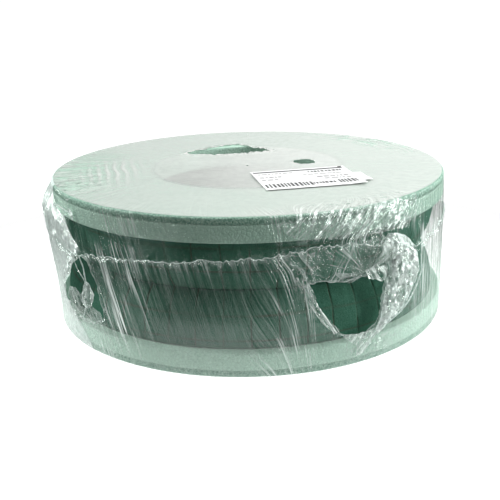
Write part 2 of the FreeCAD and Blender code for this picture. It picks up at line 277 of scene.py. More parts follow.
class Shader:
    """The nodes of a material or world, written as calls that add a node and return an output."""

    def __init__(self, owner):
        self.owner = owner
        self.owner.use_nodes = True
        self.nodes = owner.node_tree.nodes
        self.links = owner.node_tree.links
        self.nodes.clear()

    def add(self, kind, inputs=None, output=0, **settings):
        node = self.nodes.new("ShaderNode" + kind)
        for key, setting in settings.items():
            setattr(node, key, setting)
        for key, given in (inputs or {}).items():
            if isinstance(given, bpy.types.NodeSocket):
                self.links.new(given, node.inputs[key])
            else:
                node.inputs[key].default_value = given
        return node.outputs[output]

    def maths(self, operation, a, b=0.0, clamp=False):
        return self.add("Math", {0: a, 1: b}, operation=operation, use_clamp=clamp)

    def total(self, *terms):
        return reduce(lambda a, b: self.maths("ADD", a, b), terms)

    def product(self, *terms):
        return reduce(lambda a, b: self.maths("MULTIPLY", a, b), terms)

    def ramp(self, value, start=0.3, end=0.7, low=0.0, high=1.0):
        """value mapped from start..end to low..high, smoothly, and held there."""
        inputs = {"Value": value, "From Min": start, "From Max": end, "To Min": low, "To Max": high}
        return self.add("MapRange", inputs, interpolation_type="SMOOTHSTEP")

    def attribute(self, name, output="Fac"):
        return self.add("Attribute", output=output, attribute_name=name)

    def position(self):
        return self.add("TexCoord", output="Object")

    def scaled(self, vector, scale):
        return self.add("Mapping", {"Vector": vector, "Scale": scale})

    def grain(self, vector, scale, detail=3.0, rough=0.6):
        inputs = {"Vector": vector, "Scale": scale, "Detail": detail, "Roughness": rough}
        return self.add("TexNoise", inputs)

    def cells(self, vector, scale, feature="F1", output="Distance"):
        inputs = {"Vector": vector, "Scale": scale}
        return self.add("TexVoronoi", inputs, output, feature=feature)

    def off_middle(self, value):
        """How far a 0 to 1 value lies from a half: sharp valleys where the value crosses it."""
        return self.maths("ABSOLUTE", self.maths("SUBTRACT", value, 0.5))

    def blend(self, factor, a, b):
        inputs = {0: factor, 6: a, 7: b}
        return self.add("Mix", inputs, 2, data_type="RGBA", clamp_factor=True)

    def relief(self, height, distance_m, strength=1.0):
        inputs = {"Height": height, "Distance": distance_m, "Strength": strength}
        return self.add("Bump", inputs)

    def tilted(self, normal, vector, scale, amount):
        """A normal tipped a different way in each cell, as on the flat facets of crushed film."""
        tip = self.cells(vector, scale, output="Color")
        tip = self.add("VectorMath", {0: tip, 1: (0.5, 0.5, 0.5)}, operation="SUBTRACT")
        tip = self.add("VectorMath", {0: tip, "Scale": amount}, operation="SCALE")
        tip = self.add("VectorMath", {0: tip, 1: normal}, operation="ADD")
        return self.add("VectorMath", {0: tip}, operation="NORMALIZE")

    def either(self, factor, a, b):
        return self.add("MixShader", {0: factor, 1: a, 2: b})

    def solid(self, colour, roughness, normal=None, specular=0.5):
        """Finishes an opaque material."""
        inputs = {"Base Color": colour, "Roughness": roughness, "Specular IOR Level": specular}
        if normal is not None:
            inputs["Normal"] = normal
        return self.done(self.add("BsdfPrincipled", inputs))

    def done(self, surface, kind="OutputMaterial"):
        output = self.nodes.new("ShaderNode" + kind)
        self.links.new(surface, output.inputs["Surface"])
        return self.owner


def new_material(name):
    return Shader(bpy.data.materials.new(name))


def make_polystyrene():
    """Pale mint bead foam. "rough_cut" marks the outer rim's darker, coarser band."""
    s = new_material("polystyrene")
    spot = s.position()
    cut = s.attribute("rough_cut")
    bead = s.cells(spot, 420.0)
    join = s.cells(spot, 420.0, "DISTANCE_TO_EDGE")
    tint = s.cells(spot, 420.0, output="Color")
    cloud = s.grain(spot, 18.0, 4.0)
    speck = s.grain(spot, 800.0, 3.0, 0.7)
    pale, deep = (0.49, 0.69, 0.575, 1), (0.42, 0.62, 0.51, 1)
    colour = s.blend(s.ramp(cloud), pale, deep)
    colour = s.blend(s.product(tint, 0.22), colour, (0.57, 0.75, 0.645, 1))
    colour = s.blend(s.ramp(join, 0.0, 0.18, 0.34, 0.0), colour, (0.28, 0.45, 0.36, 1))
    colour = s.blend(s.ramp(speck, 0.50, 0.34, 0.0, 0.45), colour, (0.20, 0.36, 0.28, 1))
    dark = s.product(cut, s.ramp(speck, 0.62, 0.38, 0.25, 1.0))
    colour = s.blend(dark, colour, (0.13, 0.27, 0.20, 1))
    height = s.maths("SUBTRACT", s.ramp(join, 0.0, 0.3), s.product(bead, 0.5))
    height = s.total(height, s.product(speck, s.total(s.product(cut, 2.2), 0.6)))
    return s.solid(colour, s.ramp(cloud, 0.2, 0.8, 0.62, 0.78), s.relief(height, 0.00030, 0.7), 0.3)


def make_foam():
    """Dull dark green open-cell foam, dusty on its high spots and brown in its scored lines."""
    s = new_material("floral_foam")
    spot = s.position()
    cloud = s.grain(spot, 26.0, 4.0)
    speck = s.grain(spot, 900.0, 3.0, 0.7)
    pore = s.cells(spot, 1500.0)
    colour = s.blend(s.ramp(cloud), (0.046, 0.140, 0.095, 1), (0.060, 0.178, 0.122, 1))
    colour = s.blend(s.ramp(speck, 0.56, 0.72, 0.0, 0.40), colour, (0.13, 0.28, 0.205, 1))
    colour = s.blend(s.ramp(speck, 0.46, 0.30, 0.0, 0.55), colour, (0.018, 0.062, 0.042, 1))
    colour = s.blend(s.product(s.attribute("score"), 0.75), colour, (0.10, 0.068, 0.052, 1))
    height = s.total(s.product(pore, 0.6), speck)
    return s.solid(colour, s.ramp(speck, 0.3, 0.7, 0.98, 0.86), s.relief(height, 0.0005, 0.7), 0.12)


def make_film(name, through=0.4, mirror=0.75, relief=0.8, mottle=0.28, tint=(0.86, 0.955, 0.925, 1)):
    """Clear shrink film: see-through, glossy, milky where it is stretched, slack or creased.

    The mesh says where: "haze" is plain milkiness, "streak" the strength of fine tension
    lines, "web" that of a net of creases, "dull" takes the gloss away, and "flow" runs across
    and along the tension lines.
    """
    s = new_material(name)
    spot = s.position()
    web = s.attribute("web")
    flow = s.attribute("flow", "Vector")
    fine = s.grain(s.scaled(flow, (1.05, 0.020, 1.0)), 1.0, 2.5, 0.5)
    broad = s.grain(s.scaled(flow, (0.26, 0.010, 1.0)), 1.0, 2.0, 0.5)
    bunch = s.grain(s.scaled(flow, (0.09, 0.022, 1.0)), 1.0, 1.0, 0.5)
    thread = s.off_middle(s.grain(s.scaled(flow, (0.30, 0.006, 1.0)), 1.0, 2.0, 0.5))
    lines = s.total(s.ramp(fine, 0.55, 0.66, 0.0, 0.40), s.ramp(broad, 0.54, 0.68, 0.0, 0.22))
    lines = s.total(lines, s.ramp(thread, 0.032, 0.008, 0.0, 0.60))
    lines = s.product(lines, s.attribute("streak"), s.ramp(bunch, 0.38, 0.62, 0.15, 1.5))
    fold = s.off_middle(s.grain(spot, 105.0, 2.0, 0.5))
    small = s.off_middle(s.grain(spot, 290.0, 2.0, 0.6))
    net = s.total(s.ramp(fold, 0.016, 0.0, 0.0, 0.9), s.ramp(small, 0.014, 0.0, 0.0, 0.6))
    net = s.product(net, web)
    patch = s.grain(spot, 190.0, 4.0, 0.65)
    haze = s.product(s.attribute("haze"), s.ramp(patch, 0.32, 0.68, 1.0 - mottle, 1.0 + mottle))
    height = s.total(s.product(fine, 0.7), s.product(broad, 1.2))
    height = s.total(height, s.product(s.total(s.product(fold, 3.0), s.product(small, 1.6)), web))
    normal = s.relief(height, 0.0010, relief)
    bend = s.add("Mapping", {"Vector": spot, "Rotation": (0.5, 0.4, 0.2), "Scale": (1.0, 1.0, 0.55)})
    normal = s.tilted(normal, bend, 300.0, s.product(web, 1.3))
    normal = s.tilted(normal, spot, 620.0, s.product(web, 0.8))
    matt = s.add("BsdfDiffuse", {"Color": tint, "Normal": normal})
    lit = s.add("BsdfTranslucent", {"Color": tint, "Normal": normal})
    milk = s.either(through, matt, lit)
    clear_film = s.add("BsdfTransparent", {"Color": (0.98, 0.99, 0.985, 1)})
    sheet = s.either(haze, clear_film, milk)
    white = (0.90, 1.0, 0.94, 1)
    satin = s.add("BsdfGlossy", {"Color": white, "Roughness": 0.42, "Normal": normal})
    sheet = s.either(s.maths("ADD", lines, net, clamp=True), sheet, s.either(0.45, matt, satin))
    facing = s.add("LayerWeight", {"Blend": 0.5, "Normal": normal}, "Facing")
    slant = s.product(s.maths("POWER", facing, 5.0), mirror)
    shine = s.maths("ADD", slant, 0.07, clamp=True)
    shine = s.product(shine, s.ramp(s.attribute("dull"), 0.0, 1.0, 1.0, 0.0))
    gloss = s.add("BsdfGlossy", {"Color": white, "Roughness": 0.11, "Normal": normal})
    return s.done(s.either(shine, sheet, gloss))


def make_paper():
    """Coated white label paper with a faint mottle."""
    s = new_material("label_paper")
    spot = s.position()
    fibre = s.grain(spot, 700.0, 4.0)
    colour = s.blend(s.ramp(fibre), (0.80, 0.81, 0.81, 1), (0.73, 0.74, 0.74, 1))
    return s.solid(colour, s.ramp(fibre, 0.3, 0.7, 0.42, 0.55), s.relief(fibre, 0.0001, 0.3))


def make_ink(name, dark, worn_to):
    """Thermal print, thin in places."""
    s = new_material(name)
    spot = s.position()
    worn_or_dark_patches = s.grain(spot, 500.0, 3.0)
    colour = s.blend(s.ramp(worn_or_dark_patches, 0.45, 0.75), (dark, dark, dark, 1), (worn_to, worn_to, worn_to, 1))
    return s.solid(colour, s.ramp(worn_or_dark_patches, 0.3, 0.7, 0.5, 0.65))


def make_glue():
    """Amber hot-melt glue, cloudy and a little uneven."""
    s = new_material("glue")
    spot = s.position()
    cloud = s.grain(spot, 160.0, 3.0)
    colour = s.blend(s.ramp(cloud), (0.60, 0.52, 0.33, 1), (0.44, 0.36, 0.20, 1))
    return s.solid(colour, s.ramp(cloud, 0.3, 0.7, 0.28, 0.42), s.relief(cloud, 0.0004, 0.5))


polystyrene = make_polystyrene()
foam = make_foam()
# The top film is the side film with a darker grey tint: painted shade that darkens the brightly lit top.
top_film_painted_shade = make_film("film_top", 0.10, 1.1, relief=0.10, mottle=0.06, tint=(0.71, 0.715, 0.695, 1))
side_film = make_film("film_side")
paper = make_paper()
ink = make_ink("label_ink", 0.015, 0.07)
faint_ink = make_ink("label_ink_faint", 0.30, 0.55)
glue = make_glue()


# -------- rings


def rounded(start, corner, end):
    """Points on the quarter curve from start to end that bends at a corner."""
    t = np.linspace(0, 1, 5)[:, None]
    start, corner, end = (np.array(p, float) for p in (start, corner, end))
    return (1 - t) ** 2 * start + 2 * t * (1 - t) * corner + t**2 * end


def straight(start, end, spacing):
    """Points between start and end, both left out, about a spacing apart."""
    count = max(int(math.dist(start, end) / spacing), 1) + 1
    return np.linspace(start, end, count)[1:-1]


def closed(stretches):
    """Stretches of points joined into one outline that ends where it starts."""
    points = np.vstack(stretches)
    return np.vstack([points, points[:1]])


def stack(height, upper):
    """A height above the ring's own outer face, as a height of the pack."""
    return TOP - height if upper else GROUND_FILM + height


def base_profile():
    """A base's outline as (radius, height above its outer face), with a groove round its wall."""
    inner, outer, tall, soft = HOLE_RADIUS, BASE_RADIUS, BASE_TALL, BASE_ROUND
    return closed([
        rounded((inner, soft), (inner, 0), (inner + soft, 0)),
        straight((inner + soft, 0), (outer - soft, 0), 1.35),
        rounded((outer - soft, 0), (outer, 0), (outer, soft)),
        straight((outer, soft), (outer, MOULD_LINE - 0.5), 1.3),
        [(outer, MOULD_LINE - 0.5), (outer - 0.45, MOULD_LINE), (outer, MOULD_LINE + 0.5)],
        straight((outer, MOULD_LINE + 0.5), (outer, tall - soft), 1.3),
        rounded((outer, tall - soft), (outer, tall), (outer - soft, tall)),
        straight((outer - soft, tall), (inner + soft, tall), 9.0),
        rounded((inner + soft, tall), (inner, tall), (inner, tall - soft)),
        straight((inner, tall - soft), (inner, soft), 1.5),
    ])


def make_base(name, node, upper, seed):
    """A polystyrene ring: bead relief all over, a few knocks, and a rough band round its rim."""
    radius, depth = base_profile().T[..., None]
    if upper:
        radius, depth = radius[::-1], depth[::-1]
    columns = 840
    az = degrees_round(columns)
    points = place(az, radius, stack(depth, upper))
    band = (radius > BASE_RADIUS - BASE_ROUND) * step(depth, MOULD_LINE + 0.3, MOULD_LINE - 0.3)
    around = az / 360 * columns
    run = np.arange(len(points))[:, None]
    relief = 0.06 * noise(around / 3, run / 2.2, seed, columns // 3)
    relief = relief + 0.10 * noise(around / 30, run / 9, seed + 1, columns // 30)
    knocks = step(noise(around / 7, run / 3, seed + 2, columns // 7), 0.62, 0.95)
    relief = relief - 0.5 * knocks * step(relief, -0.2, 0.2)
    points = pressed(points, np.clip(relief, -0.6, 0.0))
    x, y, z = np.moveaxis(points, -1, 0)
    patches = 0.75 + 0.5 * noise(around / 2.5, run / 2, seed + 3, columns * 2 // 5)
    # A darker, coarser band in patches along the top rim at the front left.
    worn_or_dark_patches = (np.hypot(x, y) > BASE_RADIUS - 3.0) * (np.abs(z - TOP) < 3.2) * bump(az, -28, 46) * patches
    piece = grid(name, points, wrap=True, values={"rough_cut": np.maximum(band, worn_or_dark_patches)})
    weld(piece)
    finish_piece(piece, polystyrene, [node])


def weld(piece):
    """Joins vertices that lie on each other, so that a turned profile is one closed skin."""
    shape = bmesh.new()
    shape.from_mesh(piece.data)
    bmesh.ops.remove_doubles(shape, verts=shape.verts, dist=1e-6)
    bmesh.ops.recalc_face_normals(shape, faces=shape.faces)
    shape.to_mesh(piece.data)
    shape.free()


def foam_profile():
    """A foam ring's outline as (radius, height above the base's outer face), with round shoulders."""
    base, crown = FOAM_LOW - GROUND_FILM, MIDDLE - GROUND_FILM
    tall = crown - base - FOAM_WALL
    bend = (tall**2 + SHOULDER**2) / (2 * SHOULDER)
    sweep = np.linspace(0, math.asin(tall / bend), 34)
    lean, rise = bend * (1 - np.cos(sweep)), bend * np.sin(sweep)
    outer = np.column_stack([FOAM_RADIUS - lean, base + FOAM_WALL + rise])
    inner = np.column_stack([FOAM_INNER + lean, base + FOAM_WALL + rise])[::-1]
    wall = np.linspace(0, FOAM_WALL, 6)[:-1]
    return closed([
        np.column_stack([np.full(5, FOAM_RADIUS), base + wall]),
        outer,
        straight(outer[-1], inner[0], 5.0),
        inner,
        np.column_stack([np.full(5, FOAM_INNER), base + wall[::-1]]),
        straight((FOAM_INNER, base), (FOAM_RADIUS, base), 12.0),
    ])


def make_foam_ring(name, node, upper, seed):
    """A foam ring with its scored grid pressed in: radial lines, and two lines round its side."""
    spacing = 2 * math.pi * FOAM_RADIUS / SCORES_ROUND
    offsets = np.array([0, 0.4, 0.8, 1.3, 2.0, 3.4, 5.2, 7.2]) / spacing
    offsets = np.concatenate([offsets, [0.5], 1 - offsets[:0:-1]])
    sector = (np.arange(SCORES_ROUND)[:, None] + offsets).ravel()[None, :] - SCORES_ROUND / 2
    az = sector * 360 / SCORES_ROUND
    radius, height = foam_profile().T[..., None]
    if upper:
        radius, height = radius[::-1], height[::-1]
    points = place(az, radius, stack(height, upper))
    lift = height - (MIDDLE - GROUND_FILM)
    open_face = step(lift, FOAM_LOW - MIDDLE - 1.0, FOAM_LOW - MIDDLE + 1.5)
    shaken = 0.35 * noise(np.round(sector), lift / 7, seed)
    off_line = np.abs((sector - np.round(sector)) * spacing - shaken)
    score = close_to(off_line, 0.50) * open_face
    wander = 0.5 * noise(sector, 0, seed + 1, SCORES_ROUND)
    on_side = radius > (FOAM_RADIUS + FOAM_INNER) / 2
    for line in SCORE_LIFTS:
        score = np.maximum(score, close_to(lift - line - wander, 0.5) * on_side)
    around = az / 360 * 960
    profile = np.hstack([radius, stack(height, upper)])
    run = np.cumsum(np.r_[0, np.hypot(*np.diff(profile, axis=0).T)])[:, None]
    rough = 0.16 * noise(around / 2, run / 2, seed + 2, 480)
    rough = rough + 0.12 * noise(around / 5, run / 5, seed + 3, 192)
    rough = rough - 0.35 * step(noise(around / 4, run / 4, seed + 4, 240), 0.55, 0.9)
    score = score * (0.55 + 0.45 * noise(around / 14, run / 8, seed + 5, 68))
    points = pressed(points, np.clip(rough - 0.1, -0.6, 0.0) * open_face - score)
    piece = grid(name, points, wrap=True, values={"score": score})
    weld(piece)
    finish_piece(piece, foam, [node])


make_base("base_lower", "lower_polystyrene_base", upper=False, seed=11)
make_base("base_upper", "upper_polystyrene_base", upper=True, seed=17)
make_foam_ring("foam_lower", "lower_foam_ring", upper=False, seed=23)
make_foam_ring("foam_upper", "upper_foam_ring", upper=True, seed=31)
for node in ("lower_glue_line", "upper_glue_line"):
    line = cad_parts[node]
    line.data.materials.clear()
    line.data.materials.append(glue)


# -------- film outlines

# Outlines on the side film are (degrees, lift).
SEAM = [
    (-180, 24), (-150, 26), (-132, 18), (-105, 24), (-75, 21), (-52, 14), (-46, 18), (-41, 19),
    (-25, 23), (-12, 26), (0, 27), (10, 29.5), (21, 33), (31, 28), (38, 24), (48, 17), (65, 22),
    (95, 25), (132, 18), (155, 25),
]
WINDOW = [
    (13, 8), (15, 2), (15.3, -9), (18.6, -18), (21.8, -28), (25, -31.5), (29, -32), (31.3, -29),
    (33.6, -25), (35.4, -13), (35.8, -1), (35.5, 8), (30, 8), (24, 6), (18.5, 9),
]
GASH = [
    (-50, 15), (-46.5, 13), (-43.8, 2), (-42.2, -12), (-41, -24), (-45, -31), (-50, -31),
    (-56, -32), (-59, -25.5), (-62, -19.5), (-61, -9), (-57, 0), (-54.5, 11),
]
# The left edge of the tight film, where the slack veil begins, as (lift, degrees).
VEIL_EDGE = [
    (-56, -46), (-45, -50), (-33, -56), (-25, -59), (-19, -62), (-9, -60.5), (0, -56), (12, -53.5),
    (15, -49.5), (21, -51), (27, -56.5), (35, -59), (39, -65), (56, -70),
]
# The burst in the top film, in millimetres across and back.
BURST = [
    (-52, 49), (-41, 45.5), (-28, 44), (-16, 43.5), (-2, 46.5), (10, 51), (21.5, 55), (15, 60),
    (8, 68.5), (0, 74), (-5, 81), (-12, 83.5), (-19, 79), (-29, 75), (-36, 66), (-46, 58),
]
VENT_AT, VENT_RADIUS = (45.0, 8.0), 8.6
# Where the film is drawn together over the upper rim at the right front, in degrees.
DRAWN_AT = 27


def seam_lift(az):
    """The weld's lift, with the small teeth that a hot wire leaves in thin film."""
    around = np.asarray(az) / 360
    teeth = noise(around * 520, 0, 41, 520) + 0.8 * noise(around * 170, 0, 42, 170)
    return follow(az, SEAM, 360) + teeth


def slackness(az, lift):
    """1 where the film hangs as a slack veil at the left, 0 where it is tight."""
    edge = follow(lift, VEIL_EDGE)
    return step(az, edge + 0.4, edge - 1.6) * step(az, -150, -118)


def shear(az, lift):
    """How far the tension lines lean, in millimetres round per millimetre down."""
    drawn = bump(az, DRAWN_AT, 27) * step(lift, 16, 36)
    return 0.33 * bump(az, -22, 58) + 0.20 * bump(az, 9, 12) - 0.95 * drawn


def flow_lines(az, below_top, lift):
    """How far across and along the film's tension lines points lie, in millimetres."""
    arc = np.radians(az) * FILM_RADIUS
    return stacked(arc - shear(az, lift) * below_top, below_top, 0.0)


def film_piece(name, points, haze, streak, web, flow, dull=0.0, nodes=(), wrap=True, keep=None,
               material=side_film):
    """A sheet or string of film over a grid of points, with what its material reads there."""
    fields = {"haze": haze, "streak": streak, "web": web, "dull": dull}
    values = {key: np.broadcast_to(field, points.shape[:2]) for key, field in fields.items()}
    piece = grid(name, points, wrap, keep, values | {"flow": flow})
    finish_piece(piece, material, nodes)


# -------- side film


def side_regions(az, height, window_gap, gash_gap):
    """Places on the side film, and how strongly each kind of crease is there."""
    f = SimpleNamespace(az=az, height=height, window_gap=window_gap, gash_gap=gash_gap)
    f.arc = np.radians(az) * FILM_RADIUS
    f.lift = height - MIDDLE
    f.seam = follow(az, SEAM, 360)
    f.flow = flow_lines(az, TOP - height, f.lift)
    f.across = f.flow[..., 0]
    f.slack = slackness(az, f.lift)
    f.far_left = step(az, -88, -104)
    f.over_base = step(np.abs(f.lift), MIDDLE - GROUND_FILM - BASE_TALL - 2, MIDDLE - BASE_TALL + 2)
    f.by_window, f.by_gash = close_to(window_gap, 6.0), close_to(gash_gap, 4.5)
    f.pleats = np.exp(-np.abs(f.lift - f.seam) / 5.0)
    f.under = bump(az, -12, 34) * np.exp(-np.clip(f.seam - f.lift, 0, 99) / 6.5) * (f.lift < f.seam)
    f.rim = bump(az, DRAWN_AT, 27) * step(f.lift, 34 - 10 * step(az, 16, 28), 38)
    f.rumple = creases(f.across / 5.0, (TOP - height) / 16, 60)
    f.curls = bump(az, 34, 13) * bump(f.lift, -43, 11)
    f.patchy = 0.5 + 0.5 * noise(f.arc / 14, height / 22, 58)
    return f


def side_stand(f):
    """How far the side film stands out: a slack belly at the left, ripples where it is tight."""
    ripple = creases(f.across / 6.5, f.height / 80, 51)
    fine = creases(f.across / 2.8, f.height / 45, 52)
    crumple = creases(f.arc / 4.2, f.height / 4.8, 53) + 0.5 * creases(f.arc / 2.1, f.height / 2.3, 54)
    folds = creases(f.arc / 10 + 0.05 * f.height, f.height / 30, 55)
    folds = folds + 0.5 * creases(f.arc / 4, f.height / 9, 56)
    bulge = step(f.height, TOP, TOP - 20) * np.clip((f.height - 10) / (TOP - 30), 0, 1) ** 1.2
    smooth = 1 - 0.75 * bump(f.az, -10, 22)
    out = (
        8.0 * f.slack * bump(f.az, -92, 52) * bulge
        + f.slack * 0.9 * folds * bulge
        + (0.30 * ripple + 0.16 * fine) * (1 - f.slack) * (1 - 0.6 * f.over_base) * smooth
        + f.pleats * 0.8 * noise(f.arc / 3.2, 0, 57)
        + crumple * (0.5 * f.by_window + 0.5 * f.by_gash + 0.9 * f.curls)
        + 1.0 * f.by_window
        + 0.8 * f.by_gash
        + f.rim * (0.9 + 1.1 * f.rumple + 0.5 * crumple * bump(f.az, 36, 14))
    )
    return np.where(f.over_base > 0.5, np.maximum(out, -0.1), out)


def side_haze(f):
    """How milky the side film is: most in the slack veil, round the bursts and under the weld."""
    low_left = bump(f.az, -58, 26) * step(f.lift, -26, -40)
    low_right = (0.12 * bump(f.az, 36, 26) + 0.35 * f.curls * f.patchy) * step(f.lift, -30, -44)
    pleat = 0.5 + 0.5 * np.sin(2 * math.pi * f.across / 7.5 + 2.5 * noise(f.across / 18, f.lift / 60, 62))
    return (
        0.05 * f.patchy * f.over_base
        + f.slack * (0.80 + 0.20 * f.patchy) * (1 - 0.45 * f.far_left)
        + 0.25 * low_left * (1 - f.slack)
        + 0.45 * close_to(f.window_gap, 0.9)
        + 0.45 * close_to(f.gash_gap, 0.9)
        + 0.02 * f.by_window
        + 0.08 * f.by_gash
        + low_right
        + 0.30 * f.rim * (0.5 + 0.5 * f.rumple) * step(f.lift, 34, 38)
        + 0.06 * step(f.az, 52, 80) * step(f.az, 150, 120)
        + 0.13 * bump(f.az, -12, 26) * step(f.lift, -12, -20)
        + 0.75 * f.under * pleat**5
    )


def side_streak(f):
    """How strong the side film's tension lines are: strongest towards the gathered corners."""
    streak = 0.10 + 1.15 * bump(f.az, -36, 12) + 0.9 * bump(f.az, 9, 9)
    streak = streak + 0.75 * step(f.az, 44, 56) * step(f.az, 150, 120)
    streak = streak * (1 - 0.8 * step(f.lift, 26, 34)) - 0.28 * bump(f.az, -46, 6)
    streak = streak + 0.5 * bump(f.az, -40, 30) * step(f.lift, 36, 42) * step(f.lift, 53, 48)
    streak = streak * (1 - 0.7 * bump(f.az, -12, 16)) + 0.7 * f.under + 1.9 * f.rim
    streak = streak + f.slack * (0.5 + 0.7 * f.far_left)
    return streak * (1 - 0.8 * bump(f.az, -2, 30) * step(f.lift, f.seam, f.seam + 3) * step(f.lift, 50, 38))


def side_web(f):
    """How strong the side film's net of creases is."""
    web = 0.3 * f.by_window + 0.6 * f.by_gash + 0.26 * f.slack + 0.55 * f.rim * bump(f.az, 34, 16)
    return np.clip(web + 0.9 * f.curls + 0.5 * f.pleats * f.patchy, 0, 1)


def side_dull(f):
    """Where the side film loses its gloss: along the upper rim, and above the weld."""
    dull = step(f.height, TOP - 4, TOP - 1) * (1 - f.rim) * (1 - 0.8 * bump(f.az, -64, 8))
    dull = dull + 0.8 * bump(f.az, -6, 26) * step(f.lift, f.seam + 1, f.seam + 4) * step(f.lift, 40, 37)
    return dull + 0.8 * bump(f.az, 24, 16) * bump(f.lift, 20, 18)


def bent(t, upper):
    """Radius and height along the film's bend round a rim, from its flat panel at t = 0."""
    turn = t * math.pi / 2
    radius = FILM_RADIUS - RIM_BEND * (1 - np.sin(turn))
    rise = RIM_BEND * (1 - np.cos(turn))
    return radius, (FILM_TOP - rise if upper else FILM_LOW + rise)


def make_side_film(name, node, upper, rows):
    """The film from a rim to the weld, with the two side bursts left out of the lower one."""
    columns, bend_rows = 920, 5
    az = degrees_round(columns)
    bend_radius, bend_height = bent(np.linspace(0, 1, bend_rows)[:, None], upper)
    down = np.linspace(0, 1, rows)[1:, None]
    wall = bend_height[-1] + (MIDDLE + seam_lift(az) - bend_height[-1]) * down
    height = np.vstack([np.broadcast_to(bend_height, (bend_rows, columns)), wall])
    radius = np.vstack([bend_radius, np.full(down.shape, FILM_RADIUS)])
    arc = np.broadcast_to(np.radians(az) * FILM_RADIUS, height.shape)
    keep, gaps = None, [np.full(height.shape, 1e3)] * 2
    if not upper:
        arc, height, keep, gaps[0] = trim(arc, height, torn(to_arc(WINDOW), 0.8, 61))
        arc, height, stays, gaps[1] = trim(arc, height, torn(to_arc(GASH), 0.8, 71))
        keep = keep & stays
    f = side_regions(np.degrees(arc / FILM_RADIUS), height, *gaps)
    fade = np.vstack([np.zeros((bend_rows, 1)), step(down, 0, 0.05)])
    points = place(f.az, radius + side_stand(f) * fade, height)
    film_piece(name, points, side_haze(f), side_streak(f), side_web(f), f.flow, side_dull(f), [node],
               keep=keep)


make_side_film("film_side_upper", "film_upper_skirt", upper=True, rows=30)
make_side_film("film_side_lower", "film_lower_skirt", upper=False, rows=84)


# -------- top and bottom film


def disc(columns, rows):
    """Degrees round, radius, x and y over a disc that ends where the film bends round a rim."""
    az = degrees_round(columns)
    radius = np.linspace(1.0, FILM_RADIUS - RIM_BEND, rows)[:, None]
    flat = place(az, radius, 0.0)
    return az, radius, flat[..., 0], flat[..., 1]


def top_regions(x, y, burst_gap, vent_gap):
    """Places on the top film, and how strongly each kind of crease is there."""
    f = SimpleNamespace(x=x, y=y, burst_gap=burst_gap, vent_gap=vent_gap)
    f.az, f.radius = np.degrees(np.arctan2(x, -y)), np.hypot(x, y)
    f.flow = flow_lines(f.az, f.radius - FILM_RADIUS, 54.0)
    f.over_hole = step(f.radius, HOLE_RADIUS + 1, HOLE_RADIUS - 6)
    f.left = bump(f.az, -84, 48) * step(f.radius, 96, 132)
    f.bands = bump(x, -108, 36) * bump(y, -14, 58)
    f.wave = np.sin((x + y / 5) / 7.0 * 2 * math.pi + 1.6 * noise(x / 20, y / 20, 71))
    f.rim = step(f.radius, 122, 146)
    f.front = bump(f.az, DRAWN_AT, 30) * f.rim
    f.right_back = bump(f.az, 128, 34) * step(f.radius, 110, 140)
    f.tangent = creases(f.radius / 3.2, f.az / 9, 77)
    f.frayed = close_to(burst_gap, 4.0) + 0.6 * close_to(vent_gap, 2.5)
    return f


def top_height(f):
    """The top film's height: rippled over the base, sunk a little over the hole."""
    rumple = creases(f.flow[..., 0] / 5.0, (f.radius - FILM_RADIUS) / 16, 60)
    height = (
        TOP
        + 0.14
        + f.over_hole * (0.12 * noise(f.x / 22, f.y / 16, 73) - 0.4)
        + f.right_back * 0.4 * (1 + f.tangent)
        + f.bands * 0.35 * (1 + f.wave)
        + f.left * 0.35 * (1 + creases(f.az / 2.4, f.radius / 30, 72))
        + f.front * (0.5 + 0.5 * rumple)
        + f.frayed * 0.5 * (1 + creases(f.x / 3, f.y / 3, 74))
    )
    height = np.minimum(height, TOP + GROUND_FILM + 1.6)
    return height + (FILM_TOP - height) * step(f.radius, 144, FILM_RADIUS - RIM_BEND)


def top_haze(f):
    """How milky the top film is: even, with pale bands and clear creases at its left and right. Its rise
    towards the right, the back and the right of the hole is painted light, standing for the light that falls
    brighter from there.
    """
    patchy = 0.5 + 0.5 * noise(f.x / 30, f.y / 16, 76)
    spokes = np.clip(creases(f.az / 1.3, f.radius / 40, 78), 0, 1)
    haze = (
        0.50
        + 0.05 * patchy
        # Painted light: the film over the hole grows milkier, so paler, towards its right.
        + f.over_hole * (0.16 - 0.16 * step(f.x, 40, -60))
        # Painted light: milkier, so paler, towards the right and the back, where the light falls brighter.
        + 0.12 * step(f.x, -80, 120)
        + 0.10 * step(f.y, -60, 120)
        + 0.40 * f.bands * np.clip(f.wave, -0.4, 1)
        - f.left * (0.25 + 0.55 * spokes)
        - 0.85 * f.right_back * np.clip(f.tangent * 1.6 - 0.2, 0, 1)
        + 0.6 * close_to(f.burst_gap, 1.2)
        + 0.3 * close_to(f.vent_gap, 0.8)
    )
    return np.clip(haze, 0, 1)


def make_top_film():
    """The film over the upper base and its hole, with the burst and the vent left out."""
    x, y = disc(640, 130)[2:]
    turn = np.linspace(0, 2 * math.pi, 24, endpoint=False)
    vent = [(VENT_AT[0] + VENT_RADIUS * math.cos(t), VENT_AT[1] + VENT_RADIUS * math.sin(t)) for t in turn]
    x, y, keep, burst_gap = trim(x, y, torn(BURST, 1.1, 75))
    x, y, stays, vent_gap = trim(x, y, torn(vent, 1.0, 85))
    f = top_regions(x, y, burst_gap, vent_gap)
    streak = 0.05 + 1.3 * f.left + 2.0 * f.front + 0.15 * f.rim
    web = np.clip(0.5 * f.frayed + 0.25 * f.front + 0.35 * f.left * bump(f.az, -62, 20), 0, 1)
    dull = f.over_hole * (0.20 + 0.40 * step(x, 50, -60))
    film_piece("film_top", stacked(x, y, top_height(f)), top_haze(f), streak, web, f.flow, dull,
               ["film_top_panel"], keep=keep & stays, material=top_film_painted_shade)


